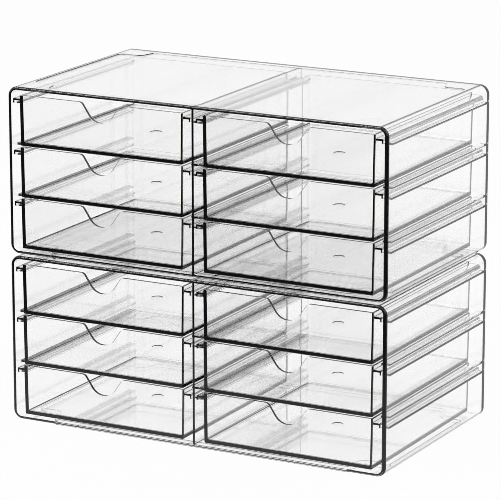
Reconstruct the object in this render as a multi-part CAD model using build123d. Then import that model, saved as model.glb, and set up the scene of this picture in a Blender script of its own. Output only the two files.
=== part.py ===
"""Two stacked clear drawer units, each a one-piece case with six slide-out drawers.

Millimetres. X runs to the right as seen from the front, Y runs to the back, Z up.
The origin is the centre of the base that the lower unit stands on.
"""
import math
import os

from build123d import *

# ---- the stack -------------------------------------------------------------
UNITS = ["lower", "upper"]
COLUMNS = ["left", "right"]
ROWS = ["top", "middle", "bottom"]

# ---- case ------------------------------------------------------------------
CASE_WIDTH = 320.5
CASE_DEPTH = 176.0
SIDE_WALL = 3.0
TOP_WALL = 2.4
FLOOR_WALL = 2.3
BACK_WALL = 2.6
PARTITION = 1.8
CORNER_RADIUS = 7.5          # the long outer edges that run from front to back
FRONT_ROUNDING = 1.65        # outer edge of the open front
BACK_CHAMFER = 0.6           # outer edge of the back
HEAD_GAP = 3.9               # top wall to the first drawer
FLOOR_GAP = 2.4              # last drawer to the floor

# ---- stacking outline: recess on top, rim underneath ---------------------------
RECESS_DEPTH = 0.6
RIM_HEIGHT = 2.5
RIM_WIDTH = 2.0
RIM_CLEARANCE = 0.5          # rim to the wall of the recess it drops into
OUTLINE_SIDE_INSET = 9.0
OUTLINE_END_INSET = 6.0
EAR_WIDTH = 23.0             # flat corner lands that the outline steps round
EAR_DEPTH = 16.5
EAR_SLANT = 4.0
OUTLINE_RADIUS = 5.0

# ---- drawer ----------------------------------------------------------------
DRAWER_HEIGHT = 39.0
DRAWER_LENGTH = 170.0
DRAWER_SIDE_GAP = 7.6        # drawer side to the wall beside it, bridged by the flange
ROW_GAP = 1.15
FRONT_WALL = 2.6
DRAWER_WALL = 2.0
DRAWER_FLOOR = 2.2
PLAN_TAPER = 1.2             # how much each side draws in from front to back
SIDE_DRAFT = 0.6             # how much each side draws in from top to bottom
BACK_CORNER_RADIUS = 3.0     # upright back corners
FOOT_CHAMFER = 0.4           # round the underside
CAVITY_CORNER_RADIUS = 2.0
CAVITY_CHAMFER = 1.0         # round the inner floor

# ---- flange on each drawer side, a little below its rim ---------------------------
FLANGE_DROP = 2.65           # drawer rim down to the top of the flange
FLANGE_THICKNESS = 1.6
FLANGE_SIDE_CLEARANCE = 1.4  # flange edge to the wall
FLANGE_SETBACK = 0.5         # behind the drawer's front face
LIP_THICKNESS = 1.2
LIP_DROP = 2.0

# ---- rails on the walls ----------------------------------------------------------
RAIL_REACH = 4.9
RAIL_TIP = 1.3
RAIL_ROOT = 1.8
RAIL_SETBACK = 8.0           # rails start this far behind the open front
RAIL_CLEARANCE = 0.25        # lip to the rail it slides on
GUARD_CLEARANCE = 2.3        # flange to the rail above it, which stops it tipping

# ---- finger notch and moulding mark ---------------------------------------------
NOTCH_DEPTH = 14.6
NOTCH_TOP_HALF = 16.5
NOTCH_FOOT_HALF = 6.5
NOTCH_TOP_RADIUS = 4.0
NOTCH_FOOT_SHARE = 0.97      # of its floor that the two rounded feet take up
MARK_RADIUS = 4.4
MARK_SIDES = 16
MARK_DEPTH = 0.5

# ---- worked out ------------------------------------------------------------------
ROW_PITCH = DRAWER_HEIGHT + ROW_GAP
FLOOR_BOTTOM = RIM_HEIGHT
FLOOR_TOP = FLOOR_BOTTOM + FLOOR_WALL
ROOF_BOTTOM = FLOOR_TOP + FLOOR_GAP + len(ROWS) * ROW_PITCH - ROW_GAP + HEAD_GAP
CASE_TOP = ROOF_BOTTOM + TOP_WALL
UNIT_PITCH = CASE_TOP - RECESS_DEPTH
FRONT = -CASE_DEPTH / 2
BACK = CASE_DEPTH / 2
BAY_DEPTH = CASE_DEPTH - BACK_WALL
BAY_WIDTH = (CASE_WIDTH - 2 * SIDE_WALL - (len(COLUMNS) - 1) * PARTITION) / len(COLUMNS)
BAY_PITCH = BAY_WIDTH + PARTITION
HALF_DRAWER = BAY_WIDTH / 2 - DRAWER_SIDE_GAP
ROW_TOPS = [ROOF_BOTTOM - HEAD_GAP - row * ROW_PITCH for row in range(len(ROWS))]
BAY_CENTRES = [(col - (len(COLUMNS) - 1) / 2) * BAY_PITCH for col in range(len(COLUMNS))]
SEAT = 0.6                   # how far ribs and flanges run into the wall that carries them


def block(x, y, z):
    """A box from its low and high corners along each axis."""
    size = [high - low for low, high in (x, y, z)]
    return Pos(x[0], y[0], z[0]) * Box(*size, align=(Align.MIN,) * 3)


def along_depth(points, start, end):
    """A profile given as (x, z) points, run from one depth to another."""
    profile = make_face(Polyline(*[(x, start, z) for x, z in points], close=True))
    return extrude(profile, amount=end - start, dir=(0, 1, 0))


def stacking_outline(inset):
    """The stepped outline that units share, drawn in by an inset all round."""
    side = CASE_WIDTH / 2 - OUTLINE_SIDE_INSET - inset
    end = CASE_DEPTH / 2 - OUTLINE_END_INSET - inset
    ear_y = CASE_DEPTH / 2 - OUTLINE_END_INSET - EAR_DEPTH - inset
    ear_x = CASE_WIDTH / 2 - OUTLINE_SIDE_INSET - EAR_WIDTH - inset
    corner = [(side, ear_y), (ear_x + EAR_SLANT, ear_y), (ear_x, end)]
    radii = [OUTLINE_RADIUS - inset, OUTLINE_RADIUS + inset, OUTLINE_RADIUS - inset]
    points, rounds = [], []
    for sx, sy in ((1, 1), (-1, 1), (-1, -1), (1, -1)):
        turn = 1 if sx * sy > 0 else -1
        points += [(sx * x, sy * y) for x, y in corner[::turn]]
        rounds += radii[::turn]
    return make_face(FilletPolyline(*points, radius=rounds, close=True))


def rail(face_x, side, flat_z, lift):
    """A tapered rib on a wall face: flat at flat_z, thicker where it meets the wall."""
    root_x, tip_x = face_x - side * SEAT, face_x + side * RAIL_REACH
    points = [(root_x, flat_z), (tip_x, flat_z), (tip_x, flat_z + lift * RAIL_TIP),
              (face_x, flat_z + lift * RAIL_ROOT), (root_x, flat_z + lift * RAIL_ROOT)]
    return along_depth(points, FRONT + RAIL_SETBACK, BACK - BACK_WALL + SEAT)


def case_shell():
    """The rounded tube with its back wall, before ribs and outlines."""
    height, middle = CASE_TOP - FLOOR_BOTTOM, (CASE_TOP + FLOOR_BOTTOM) / 2
    outer = extrude(Plane((0, BACK, middle), x_dir=(1, 0, 0), z_dir=(0, -1, 0))
                    * RectangleRounded(CASE_WIDTH, height, CORNER_RADIUS), amount=CASE_DEPTH)
    outer = fillet(outer.edges().group_by(Axis.Y)[0], FRONT_ROUNDING)
    outer = chamfer(outer.edges().group_by(Axis.Y)[-1], BACK_CHAMFER)
    inner_middle = (FLOOR_TOP + ROOF_BOTTOM) / 2
    inner_radius = CORNER_RADIUS - SIDE_WALL
    hollow = extrude(Plane((0, BACK - BACK_WALL, inner_middle), x_dir=(1, 0, 0), z_dir=(0, -1, 0))
                     * RectangleRounded(CASE_WIDTH - 2 * SIDE_WALL, ROOF_BOTTOM - FLOOR_TOP,
                                        inner_radius), amount=CASE_DEPTH)
    return outer - hollow


def make_case():
    """One case: shell, partition, rails, stacking recess and stacking rim."""
    ribs = []
    for col in range(len(COLUMNS) - 1):
        middle = (BAY_CENTRES[col] + BAY_CENTRES[col + 1]) / 2
        ribs.append(block((middle - PARTITION / 2, middle + PARTITION / 2),
                          (FRONT, BACK - BACK_WALL + SEAT),
                          (FLOOR_TOP - SEAT, ROOF_BOTTOM + SEAT)))
    for centre in BAY_CENTRES:
        for side in (-1, 1):
            face_x = centre + side * BAY_WIDTH / 2
            for row, top in enumerate(ROW_TOPS):
                flange_top = top - FLANGE_DROP
                seat_z = flange_top - FLANGE_THICKNESS - LIP_DROP - RAIL_CLEARANCE
                ribs.append(rail(face_x, -side, seat_z, -1))
                if row > 0:
                    ribs.append(rail(face_x, -side, flange_top + GUARD_CLEARANCE, 1))
    recess = extrude(Pos(0, 0, UNIT_PITCH) * stacking_outline(0), amount=TOP_WALL)
    ring = stacking_outline(RIM_CLEARANCE) - stacking_outline(RIM_CLEARANCE + RIM_WIDTH)
    rim = extrude(ring, amount=RIM_HEIGHT + FLOOR_WALL / 2)
    return case_shell() + ribs - recess + rim


def tapered_block(half_width, y, z):
    """A block whose sides draw in towards the back and the bottom."""
    body = block((-half_width, half_width), y, z)
    taper, draft = PLAN_TAPER / DRAWER_LENGTH, SIDE_DRAFT / DRAWER_HEIGHT
    for side in (-1, 1):
        cut = Plane((side * half_width, y[0], z[1]), z_dir=(-side, -taper, draft))
        body = split(body, bisect_by=cut, keep=Keep.TOP)
    return body


def soften_tub(body, corner_radius, foot):
    """Round the upright back corners and break the edges round the underside."""
    back_edges = body.edges().group_by(Axis.Y)[-1]
    upright = [edge for edge in back_edges if edge.bounding_box().size.Z > DRAWER_HEIGHT / 2]
    body = fillet(upright, corner_radius)
    return chamfer(body.edges().group_by(Axis.Z)[0], foot)


def finger_notch(top):
    """A bell-shaped cut through the middle of the drawer's front."""
    above = DRAWER_WALL
    turn = math.atan2(NOTCH_DEPTH, NOTCH_TOP_HALF - NOTCH_FOOT_HALF)
    foot_radius = NOTCH_FOOT_SHARE * NOTCH_FOOT_HALF / math.tan(turn / 2)
    points = [(-NOTCH_TOP_HALF - NOTCH_TOP_RADIUS * 2, top + above),
              (-NOTCH_TOP_HALF - NOTCH_TOP_RADIUS * 2, top), (-NOTCH_TOP_HALF, top),
              (-NOTCH_FOOT_HALF, top - NOTCH_DEPTH), (NOTCH_FOOT_HALF, top - NOTCH_DEPTH),
              (NOTCH_TOP_HALF, top), (NOTCH_TOP_HALF + NOTCH_TOP_RADIUS * 2, top),
              (NOTCH_TOP_HALF + NOTCH_TOP_RADIUS * 2, top + above)]
    rounds = [0, 0, NOTCH_TOP_RADIUS, foot_radius, foot_radius, NOTCH_TOP_RADIUS, 0, 0]
    start = FRONT - above
    line = FilletPolyline(*[(x, start, z) for x, z in points], radius=rounds, close=True)
    return extrude(make_face(line), amount=FRONT_WALL + 2 * above, dir=(0, 1, 0))


def flange(side, rim):
    """An outward flange with a turned-down lip along one drawer side, below the rim."""
    top = rim - FLANGE_DROP
    root = HALF_DRAWER - DRAWER_WALL / 2 - PLAN_TAPER / 2
    edge = HALF_DRAWER + DRAWER_SIDE_GAP - FLANGE_SIDE_CLEARANCE
    low = top - FLANGE_THICKNESS
    points = [(root, top), (edge, top), (edge, low - LIP_DROP),
              (edge - LIP_THICKNESS, low - LIP_DROP), (edge - LIP_THICKNESS, low), (root, low)]
    return along_depth([(side * x, z) for x, z in points],
                       FRONT + FLANGE_SETBACK, FRONT + DRAWER_LENGTH)


def make_drawer(top):
    """One drawer, centred on X, with its rim at the given height."""
    bottom = top - DRAWER_HEIGHT
    deep, tall = (FRONT, FRONT + DRAWER_LENGTH), (bottom, top)
    tub = soften_tub(tapered_block(HALF_DRAWER, deep, tall), BACK_CORNER_RADIUS, FOOT_CHAMFER)
    inner_deep = (FRONT + FRONT_WALL, FRONT + DRAWER_LENGTH - DRAWER_WALL)
    inner_tall = (bottom + DRAWER_FLOOR, top)
    slack = PLAN_TAPER * FRONT_WALL / DRAWER_LENGTH
    hollow = tapered_block(HALF_DRAWER - DRAWER_WALL - slack, inner_deep, inner_tall)
    hollow = soften_tub(hollow, CAVITY_CORNER_RADIUS, CAVITY_CHAMFER)
    mark = Pos(0, FRONT + DRAWER_LENGTH / 2, inner_tall[0] - MARK_DEPTH)
    dimple = mark * extrude(RegularPolygon(MARK_RADIUS, MARK_SIDES), amount=2 * MARK_DEPTH)
    return tub + flange(-1, top) + flange(1, top) - hollow - dimple - finger_notch(top)


def main():
    os.makedirs("parts", exist_ok=True)
    case = make_case()
    drawers = {row: make_drawer(top) for row, top in zip(ROWS, ROW_TOPS)}
    for level, unit in enumerate(UNITS):
        lift = level * UNIT_PITCH
        export_step(Pos(0, 0, lift) * case, f"parts/{unit}_case.step")
        for column, centre in zip(COLUMNS, BAY_CENTRES):
            for row, drawer in drawers.items():
                placed = Pos(centre, 0, lift) * drawer
                export_step(placed, f"parts/{unit}_{column}_{row}_drawer.step")
    print(f"unit pitch {UNIT_PITCH:.2f}, stack height {UNIT_PITCH * (len(UNITS) - 1) + CASE_TOP:.2f}")
    print(f"bay width {BAY_WIDTH:.2f}, drawer width {2 * HALF_DRAWER:.2f}")


if __name__ == "__main__":
    main()
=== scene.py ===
"""Two stacked clear drawer units: looks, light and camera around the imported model."""
import math

import bmesh
import bpy
from mathutils import Matrix, Vector


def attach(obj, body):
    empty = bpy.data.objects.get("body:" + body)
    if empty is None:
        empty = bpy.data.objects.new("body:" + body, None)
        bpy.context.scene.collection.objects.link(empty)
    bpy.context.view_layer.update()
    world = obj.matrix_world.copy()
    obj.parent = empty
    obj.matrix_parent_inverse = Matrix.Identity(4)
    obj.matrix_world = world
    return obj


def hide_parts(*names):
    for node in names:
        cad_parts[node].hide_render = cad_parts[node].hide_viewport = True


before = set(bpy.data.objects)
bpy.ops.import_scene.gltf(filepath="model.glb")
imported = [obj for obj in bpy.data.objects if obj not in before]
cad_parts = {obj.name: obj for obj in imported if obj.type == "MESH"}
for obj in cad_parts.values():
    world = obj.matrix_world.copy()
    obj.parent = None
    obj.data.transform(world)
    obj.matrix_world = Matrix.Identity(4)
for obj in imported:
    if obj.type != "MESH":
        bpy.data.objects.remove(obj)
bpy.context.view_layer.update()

# Camera, at the photograph's viewing angle. Lengths are in metres, the lens and sensor in millimetres.
EYE = Vector((1.16028, -2.16748, 0.75960))
FORWARD = Vector((-0.457168, 0.854748, -0.245770)).normalized()
UP_HINT = Vector((-0.11601, 0.21674, 0.96931))
FOCAL_LENGTH = 237.93
SENSOR = 36.0
FAR_CLIP = 50.0

# How far light is followed. The few reflections leave light that is trapped in a wall there, which
# makes the edges black.
TRAPPED_AFTER = 4
WALLS_DEEP = 40
DIFFUSE_BOUNCES = 2
FILTER_WIDTH = 0.8

# Studio: white all round, but the floor in front of the object is painted black for reflected rays, a
# painted dark reflection in the clear faces.
WHITE = (1.0, 1.0, 1.0, 1.0)
AMBIENT = 0.55               # strength of the world as a light
BACKDROP = 1.0               # strength of the world where a ray looks at it
PAINTED_DARK_SHARE = 0.9              # painted dark reflection: share of the floor's white taken away in mirrored rays
PAINTED_DARK_FROM = -0.4              # along Y: painted dark reflection in front of this
WHITE_FROM = -0.1            # along Y: white behind this
FLOOR_RADIUS = 9.0
FLOOR_CORNERS = 96
FLOOR_DROP = 0.0004          # below the object, so that the two never share a plane
FLOOR_PAINT = 0.9
FLOOR_GLOW = 0.95            # share of plain white in what is seen of the floor

LAMP_AIM = Vector((0, 0, 0.1))
LAMPS = {
    "key": {"place": (-1.6, -1.8, 2.6), "size": 1.6, "power": 40.0},
    "fill": {"place": (2.2, -0.6, 2.0), "size": 1.8, "power": 18.0},
}

# Clear moulded plastic.
CASE_TINT = (0.998, 0.998, 0.998)
DRAWER_TINT = (0.998, 0.998, 0.998)
REFRACTIVE_INDEX = 1.5
PAINTED_EDGE_SHADE_SHARE = 0.55             # painted shade: share of black mixed in where light is totally reflected inside a wall
EDGE_FALLOFF = 2.0           # keeps the painted shade to total reflection
# The black painted along the edges as shade.
PAINTED_EDGE_SHADE_COLOR = (0.004, 0.004, 0.004, 1.0)
SHADOW_TINT = (0.94, 0.94, 0.94, 1.0)
WAVE_SCALE = 40.0
WAVE_DETAIL = 1.0
WAVE_STRENGTH = 0.04
WAVE_HEIGHT = 0.0004

# Mesh of each piece.
MERGE_WITHIN = 2e-6
SAME_PLANE = math.radians(0.2)
EDGE_ROUNDING = 0.00015
EDGE_SEGMENTS = 2
SHARP_EDGE = math.radians(25)
FLAT_FACE_WEIGHT = 100


def add_math(tree, operation, first, second):
    """A maths node; its inputs are sockets or plain numbers."""
    node = tree.nodes.new("ShaderNodeMath")
    node.operation = operation
    for socket, value in zip(node.inputs, (first, second)):
        if isinstance(value, (int, float)):
            socket.default_value = value
        else:
            tree.links.new(value, socket)
    return node.outputs[0]


def add_mix(tree, share, first, second):
    """A mix of two shaders, with the share of the second one."""
    node = tree.nodes.new("ShaderNodeMixShader")
    for socket, value in zip(node.inputs, (share, first, second)):
        tree.links.new(value, socket)
    return node.outputs[0]


def empty_tree(owner, output):
    """The owner's node tree, cleared, and the surface socket of its new output."""
    owner.use_nodes = True
    tree = owner.node_tree
    tree.nodes.clear()
    return tree, tree.nodes.new(output).inputs["Surface"]


# ---- camera and render depth ---------------------------------------------------------------
def place_camera():
    right = FORWARD.cross(UP_HINT).normalized()
    up = right.cross(FORWARD).normalized()
    data = bpy.data.cameras.new("camera")
    data.lens = FOCAL_LENGTH
    data.sensor_width = SENSOR
    data.sensor_fit = "HORIZONTAL"
    data.clip_end = FAR_CLIP
    camera = bpy.data.objects.new("camera", data)
    turn = Matrix((right, up, -FORWARD)).transposed()
    camera.matrix_world = Matrix.Translation(EYE) @ turn.to_4x4()
    bpy.context.scene.collection.objects.link(camera)
    bpy.context.scene.camera = camera


def set_light_paths():
    """Enough bounces for a look through every clear wall, few reflections inside one."""
    cycles = bpy.context.scene.cycles
    cycles.max_bounces = WALLS_DEEP
    cycles.transmission_bounces = WALLS_DEEP
    cycles.transparent_max_bounces = WALLS_DEEP
    cycles.glossy_bounces = TRAPPED_AFTER
    cycles.diffuse_bounces = DIFFUSE_BOUNCES
    cycles.caustics_reflective = True
    cycles.caustics_refractive = True
    cycles.filter_width = FILTER_WIDTH
    bpy.context.scene.view_settings.view_transform = "Standard"


# ---- studio --------------------------------------------------------------------------------
def see_white(tree, path):
    """1 for rays that look at the background: straight, reflected or through clear walls."""
    first = add_math(tree, "MAXIMUM", path["Is Camera Ray"], path["Is Glossy Ray"])
    return add_math(tree, "MAXIMUM", first, path["Is Transmission Ray"])


def painted_dark_reflection_share(tree, path):
    """The share of the floor in front of the object that shows as black in mirrored rays: a painted
    dark reflection in the clear faces, standing for a studio that is dim behind the camera."""
    place = tree.nodes.new("ShaderNodeNewGeometry").outputs["Position"]
    split = tree.nodes.new("ShaderNodeSeparateXYZ")
    tree.links.new(place, split.inputs[0])
    front = tree.nodes.new("ShaderNodeMapRange")
    front.inputs["From Min"].default_value = PAINTED_DARK_FROM
    front.inputs["From Max"].default_value = WHITE_FROM
    front.inputs["To Min"].default_value = PAINTED_DARK_SHARE
    front.inputs["To Max"].default_value = 0.0
    tree.links.new(split.outputs["Y"], front.inputs["Value"])
    mirrored = add_math(tree, "GREATER_THAN", path["Is Glossy Ray"], path["Is Transmission Ray"])
    return add_math(tree, "MULTIPLY", mirrored, front.outputs["Result"])


def light_world():
    world = bpy.data.worlds.new("studio")
    bpy.context.scene.world = world
    tree, surface = empty_tree(world, "ShaderNodeOutputWorld")
    path = tree.nodes.new("ShaderNodeLightPath").outputs
    sides = []
    for strength in (AMBIENT, BACKDROP):
        background = tree.nodes.new("ShaderNodeBackground")
        background.inputs["Color"].default_value = WHITE
        background.inputs["Strength"].default_value = strength
        sides.append(background.outputs[0])
    tree.links.new(add_mix(tree, see_white(tree, path), *sides), surface)


def lay_floor():
    """A pale floor that shows white and keeps a faint trace of the object's shadow."""
    material = bpy.data.materials.new("pale_floor")
    tree, surface = empty_tree(material, "ShaderNodeOutputMaterial")
    paint = tree.nodes.new("ShaderNodeBsdfDiffuse")
    paint.inputs["Color"].default_value = (FLOOR_PAINT, FLOOR_PAINT, FLOOR_PAINT, 1)
    glow = tree.nodes.new("ShaderNodeEmission")
    glow.inputs["Color"].default_value = WHITE
    # Black for the painted dark reflection of the floor in front of the object.
    black = tree.nodes.new("ShaderNodeEmission")
    black.inputs["Strength"].default_value = 0.0
    path = tree.nodes.new("ShaderNodeLightPath").outputs
    share = add_math(tree, "MULTIPLY", see_white(tree, path), FLOOR_GLOW)
    white = add_mix(tree, share, paint.outputs[0], glow.outputs[0])
    tree.links.new(add_mix(tree, painted_dark_reflection_share(tree, path), white, black.outputs[0]), surface)
    bpy.ops.mesh.primitive_circle_add(
        vertices=FLOOR_CORNERS, radius=FLOOR_RADIUS, fill_type="NGON", location=(0, 0, -FLOOR_DROP)
    )
    floor = bpy.context.object
    floor.name = "floor"
    floor.data.materials.append(material)


def hang_lamp(name, place, size, power):
    """A round soft lamp that faces the lower part of the object."""
    data = bpy.data.lights.new(name, "AREA")
    data.shape = "DISK"
    data.size = size
    data.energy = power
    lamp = bpy.data.objects.new(name, data)
    lamp.location = place
    aim = LAMP_AIM - Vector(place)
    lamp.rotation_euler = aim.to_track_quat("-Z", "Y").to_euler()
    bpy.context.scene.collection.objects.link(lamp)


# ---- clear moulded plastic -----------------------------------------------------------------
def faint_waves(tree):
    """The slight unevenness that moulding leaves in a clear wall."""
    place = tree.nodes.new("ShaderNodeTexCoord").outputs["Object"]
    noise = tree.nodes.new("ShaderNodeTexNoise")
    noise.inputs["Scale"].default_value = WAVE_SCALE
    noise.inputs["Detail"].default_value = WAVE_DETAIL
    tree.links.new(place, noise.inputs["Vector"])
    bump = tree.nodes.new("ShaderNodeBump")
    bump.inputs["Strength"].default_value = WAVE_STRENGTH
    bump.inputs["Distance"].default_value = WAVE_HEIGHT
    tree.links.new(noise.outputs["Fac"], bump.inputs["Height"])
    return bump.outputs["Normal"]


def painted_edge_shade_share(tree):
    """Share of painted shade, black mixed into a wall where light is turned back inside it, as along
    its edges.
    """
    fresnel = tree.nodes.new("ShaderNodeFresnel")
    fresnel.inputs["IOR"].default_value = REFRACTIVE_INDEX
    total = add_math(tree, "POWER", fresnel.outputs[0], EDGE_FALLOFF)
    inside = tree.nodes.new("ShaderNodeNewGeometry").outputs["Backfacing"]
    return add_math(tree, "MULTIPLY", add_math(tree, "MULTIPLY", total, inside), PAINTED_EDGE_SHADE_SHARE)


def clear_plastic(name, tint):
    """Clear plastic with painted shade along its edges, which lets light through to what lies in its
    shadow.
    """
    material = bpy.data.materials.new(name)
    tree, surface = empty_tree(material, "ShaderNodeOutputMaterial")
    body = tree.nodes.new("ShaderNodeBsdfPrincipled")
    body.inputs["Base Color"].default_value = (*tint, 1)
    body.inputs["Transmission Weight"].default_value = 1.0
    body.inputs["Roughness"].default_value = 0.0
    body.inputs["IOR"].default_value = REFRACTIVE_INDEX
    tree.links.new(faint_waves(tree), body.inputs["Normal"])
    # Black diffuse, mixed in as painted shade where light is totally reflected inside the wall.
    dark = tree.nodes.new("ShaderNodeBsdfDiffuse")
    dark.inputs["Color"].default_value = PAINTED_EDGE_SHADE_COLOR
    solid = add_mix(tree, painted_edge_shade_share(tree), body.outputs[0], dark.outputs[0])
    veil = tree.nodes.new("ShaderNodeBsdfTransparent")
    veil.inputs["Color"].default_value = SHADOW_TINT
    path = tree.nodes.new("ShaderNodeLightPath")
    tree.links.new(add_mix(tree, path.outputs["Is Shadow Ray"], solid, veil.outputs[0]), surface)
    return material


def dress(node, material):
    """A copy of a CAD node with its moulded edges slightly rounded, standing for it."""
    mesh = bmesh.new()
    mesh.from_mesh(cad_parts[node].data)
    bmesh.ops.remove_doubles(mesh, verts=mesh.verts, dist=MERGE_WITHIN)
    bmesh.ops.dissolve_limit(mesh, angle_limit=SAME_PLANE, verts=mesh.verts, edges=mesh.edges)
    data = bpy.data.meshes.new(node + "_clear")
    mesh.to_mesh(data)
    mesh.free()
    data.shade_smooth()
    data.materials.append(material)
    piece = bpy.data.objects.new(node + "_clear", data)
    bpy.context.scene.collection.objects.link(piece)
    rounding = piece.modifiers.new("edges", "BEVEL")
    rounding.width = EDGE_ROUNDING
    rounding.segments = EDGE_SEGMENTS
    rounding.limit_method = "ANGLE"
    rounding.angle_limit = SHARP_EDGE
    flat_faces = piece.modifiers.new("flat_faces", "WEIGHTED_NORMAL")
    flat_faces.mode = "FACE_AREA"
    flat_faces.weight = FLAT_FACE_WEIGHT
    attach(piece, node)
    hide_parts(node)


place_camera()
set_light_paths()
light_world()
lay_floor()
for name, lamp in LAMPS.items():
    hang_lamp(name, **lamp)

finishes = {
    "clear_case": clear_plastic("clear_case_plastic", CASE_TINT),
    "clear_drawer": clear_plastic("clear_drawer_plastic", DRAWER_TINT),
}
for node in sorted(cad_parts):
    slot = "clear_drawer" if node.endswith("drawer") else "clear_case"
    dress(node, finishes[slot])
